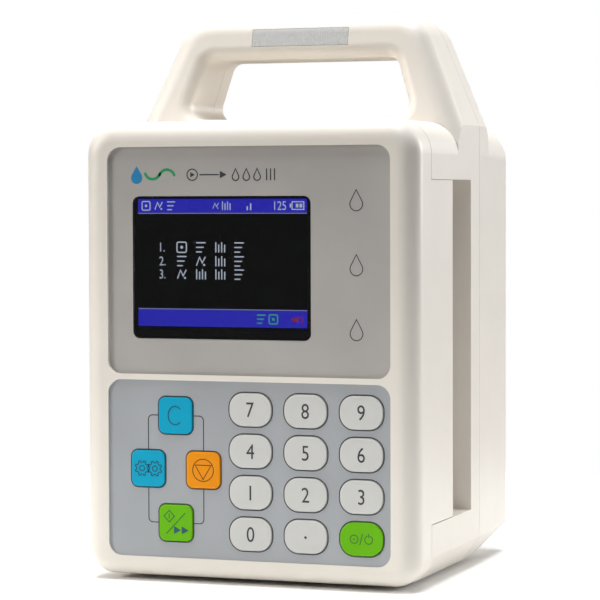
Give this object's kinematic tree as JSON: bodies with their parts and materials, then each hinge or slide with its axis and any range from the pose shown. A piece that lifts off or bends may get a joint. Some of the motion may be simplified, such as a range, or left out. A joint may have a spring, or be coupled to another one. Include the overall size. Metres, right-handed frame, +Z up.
{
  "type": "infusion pump",
  "caption": "Bedside infusion pump with a hinged front door, colour display, keypad, carrying handle, tube channel with pumping fingers and a rear pole clamp.",
  "frame": {"origin": "on the table plane under the middle of the whole object's box", "axes": "+X to the right as the user faces the display, +Y from the display towards the pole clamp, +Z up"},
  "size_m": [0.127, 0.157, 0.206],
  "materials": {
    "shell_plastic": "satin cream moulded plastic",
    "display_label": "matt warm grey polyester",
    "keypad_label": "matt cool grey polyester",
    "window_acrylic": "clear acrylic",
    "screen": "dark liquid crystal panel",
    "circuit_board": "green circuit board",
    "light_pipe": "translucent",
    "key_light": "satin",
    "key_blue": "satin",
    "key_orange": "satin",
    "key_green": "satin",
    "liner_plastic": "fine matt",
    "platen_metal": "anodised",
    "steel": "plated",
    "lens": "silvery diffuser",
    "engineering_plastic": "black acetal",
    "finger_plastic": "white acetal",
    "motor_steel": "black with steel end caps",
    "sensor_plastic": "dark grey",
    "cell_wrap": "shrink wrap",
    "inlet_plastic": "black",
    "cast_metal": "powder coated casting",
    "knob_plastic": "black",
    "rubber": "matt"
  },
  "bodies": {
    "case": {"middle_frame": "shell_plastic", "rear_shell": "shell_plastic", "alarm_lens": "lens", "alarm_board": "circuit_board", "pump_block": "engineering_plastic", "cam_bearings": "steel", "stepper_motor": "motor_steel", "tube_guide": "sensor_plastic", "air_sensor": "sensor_plastic", "pressure_sensor": "sensor_plastic", "clamp_solenoid": "motor_steel", "door_magnets": "steel", "hinge_pins": "steel", "power_board": "circuit_board", "battery_pack": "cell_wrap", "battery_cover": "shell_plastic", "mains_inlet": "inlet_plastic", "clamp_bracket": "cast_metal", "rubber_feet": "rubber", "case_screws": "steel"},
    "door": {"door_shell": "shell_plastic", "display_label": "display_label", "keypad_label": "keypad_label", "display_window": "window_acrylic", "lcd_module": "screen", "control_board": "circuit_board", "keypad_board": "circuit_board", "drop_lights": "light_pipe", "door_liner": "liner_plastic", "platen": "platen_metal", "strike_plates": "steel"},
    "key_0_body": {"key_0": "key_light"},
    "key_1_body": {"key_1": "key_light"},
    "key_2_body": {"key_2": "key_light"},
    "key_3_body": {"key_3": "key_light"},
    "key_4_body": {"key_4": "key_light"},
    "key_5_body": {"key_5": "key_light"},
    "key_6_body": {"key_6": "key_light"},
    "key_7_body": {"key_7": "key_light"},
    "key_8_body": {"key_8": "key_light"},
    "key_9_body": {"key_9": "key_light"},
    "key_point_body": {"key_point": "key_light"},
    "key_power_body": {"key_power": "key_green"},
    "key_clear_body": {"key_clear": "key_blue"},
    "key_menu_body": {"key_menu": "key_blue"},
    "key_stop_body": {"key_stop": "key_orange"},
    "key_start_body": {"key_start": "key_green"},
    "camshaft_body": {"camshaft": "steel"},
    "finger_1_body": {"finger_1": "finger_plastic"},
    "finger_2_body": {"finger_2": "finger_plastic"},
    "finger_3_body": {"finger_3": "finger_plastic"},
    "finger_4_body": {"finger_4": "finger_plastic"},
    "finger_5_body": {"finger_5": "finger_plastic"},
    "finger_6_body": {"finger_6": "finger_plastic"},
    "finger_7_body": {"finger_7": "finger_plastic"},
    "finger_8_body": {"finger_8": "finger_plastic"},
    "flow_clamp_body": {"flow_clamp": "finger_plastic"},
    "clamp_pad_body": {"clamp_pad": "rubber"},
    "clamp_screw_body": {"clamp_screw": "steel", "clamp_knob": "knob_plastic"}
  },
  "joints": [
    {"name": "door_swing", "type": "hinge", "parent": "case", "child": "door", "pos_m": [-0.0595, -0.0598, 0.0835], "axis": [0, 0, -1], "range_deg": [0, 100]},
    {"name": "key_0_press", "type": "slide", "parent": "door", "child": "key_0_body", "axis": [0, 1, 0], "range_m": [0, 0.0008], "stiffness_N_per_m": 400},
    {"name": "key_1_press", "type": "slide", "parent": "door", "child": "key_1_body", "axis": [0, 1, 0], "range_m": [0, 0.0008], "stiffness_N_per_m": 400},
    {"name": "key_2_press", "type": "slide", "parent": "door", "child": "key_2_body", "axis": [0, 1, 0], "range_m": [0, 0.0008], "stiffness_N_per_m": 400},
    {"name": "key_3_press", "type": "slide", "parent": "door", "child": "key_3_body", "axis": [0, 1, 0], "range_m": [0, 0.0008], "stiffness_N_per_m": 400},
    {"name": "key_4_press", "type": "slide", "parent": "door", "child": "key_4_body", "axis": [0, 1, 0], "range_m": [0, 0.0008], "stiffness_N_per_m": 400},
    {"name": "key_5_press", "type": "slide", "parent": "door", "child": "key_5_body", "axis": [0, 1, 0], "range_m": [0, 0.0008], "stiffness_N_per_m": 400},
    {"name": "key_6_press", "type": "slide", "parent": "door", "child": "key_6_body", "axis": [0, 1, 0], "range_m": [0, 0.0008], "stiffness_N_per_m": 400},
    {"name": "key_7_press", "type": "slide", "parent": "door", "child": "key_7_body", "axis": [0, 1, 0], "range_m": [0, 0.0008], "stiffness_N_per_m": 400},
    {"name": "key_8_press", "type": "slide", "parent": "door", "child": "key_8_body", "axis": [0, 1, 0], "range_m": [0, 0.0008], "stiffness_N_per_m": 400},
    {"name": "key_9_press", "type": "slide", "parent": "door", "child": "key_9_body", "axis": [0, 1, 0], "range_m": [0, 0.0008], "stiffness_N_per_m": 400},
    {"name": "key_point_press", "type": "slide", "parent": "door", "child": "key_point_body", "axis": [0, 1, 0], "range_m": [0, 0.0008], "stiffness_N_per_m": 400},
    {"name": "key_power_press", "type": "slide", "parent": "door", "child": "key_power_body", "axis": [0, 1, 0], "range_m": [0, 0.0008], "stiffness_N_per_m": 400},
    {"name": "key_clear_press", "type": "slide", "parent": "door", "child": "key_clear_body", "axis": [0, 1, 0], "range_m": [0, 0.0008], "stiffness_N_per_m": 400},
    {"name": "key_menu_press", "type": "slide", "parent": "door", "child": "key_menu_body", "axis": [0, 1, 0], "range_m": [0, 0.0008], "stiffness_N_per_m": 400},
    {"name": "key_stop_press", "type": "slide", "parent": "door", "child": "key_stop_body", "axis": [0, 1, 0], "range_m": [0, 0.0008], "stiffness_N_per_m": 400},
    {"name": "key_start_press", "type": "slide", "parent": "door", "child": "key_start_body", "axis": [0, 1, 0], "range_m": [0, 0.0008], "stiffness_N_per_m": 400},
    {"name": "camshaft_turn", "type": "hinge", "parent": "case", "child": "camshaft_body", "pos_m": [0, -0.0325, 0.1], "axis": [0, 0, 1], "continuous": true},
    {"name": "finger_1_push", "type": "slide", "parent": "case", "child": "finger_1_body", "axis": [0, -1, 0], "range_m": [-0.0028, 0]},
    {"name": "finger_2_push", "type": "slide", "parent": "case", "child": "finger_2_body", "axis": [0, -1, 0], "range_m": [-0.00239, 0.00041]},
    {"name": "finger_3_push", "type": "slide", "parent": "case", "child": "finger_3_body", "axis": [0, -1, 0], "range_m": [-0.0014, 0.0014]},
    {"name": "finger_4_push", "type": "slide", "parent": "case", "child": "finger_4_body", "axis": [0, -1, 0], "range_m": [-0.00041, 0.00239]},
    {"name": "finger_5_push", "type": "slide", "parent": "case", "child": "finger_5_body", "axis": [0, -1, 0], "range_m": [0, 0.0028]},
    {"name": "finger_6_push", "type": "slide", "parent": "case", "child": "finger_6_body", "axis": [0, -1, 0], "range_m": [-0.00041, 0.00239]},
    {"name": "finger_7_push", "type": "slide", "parent": "case", "child": "finger_7_body", "axis": [0, -1, 0], "range_m": [-0.0014, 0.0014]},
    {"name": "finger_8_push", "type": "slide", "parent": "case", "child": "finger_8_body", "axis": [0, -1, 0], "range_m": [-0.00239, 0.00041]},
    {"name": "flow_clamp_push", "type": "slide", "parent": "case", "child": "flow_clamp_body", "axis": [0, -1, 0], "range_m": [0, 0.003], "stiffness_N_per_m": 200},
    {"name": "clamp_slide", "type": "slide", "parent": "case", "child": "clamp_pad_body", "axis": [1, 0, 0], "range_m": [0, 0.011]},
    {"name": "clamp_turn", "type": "hinge", "parent": "clamp_pad_body", "child": "clamp_screw_body", "pos_m": [-0.02, 0.0629, 0.106], "axis": [1, 0, 0], "range_deg": [0, 1980]}
  ],
  "couplings": [
    {"joint": "clamp_turn", "follows": "clamp_slide", "rad_per_m": 3141.6}
  ]
}
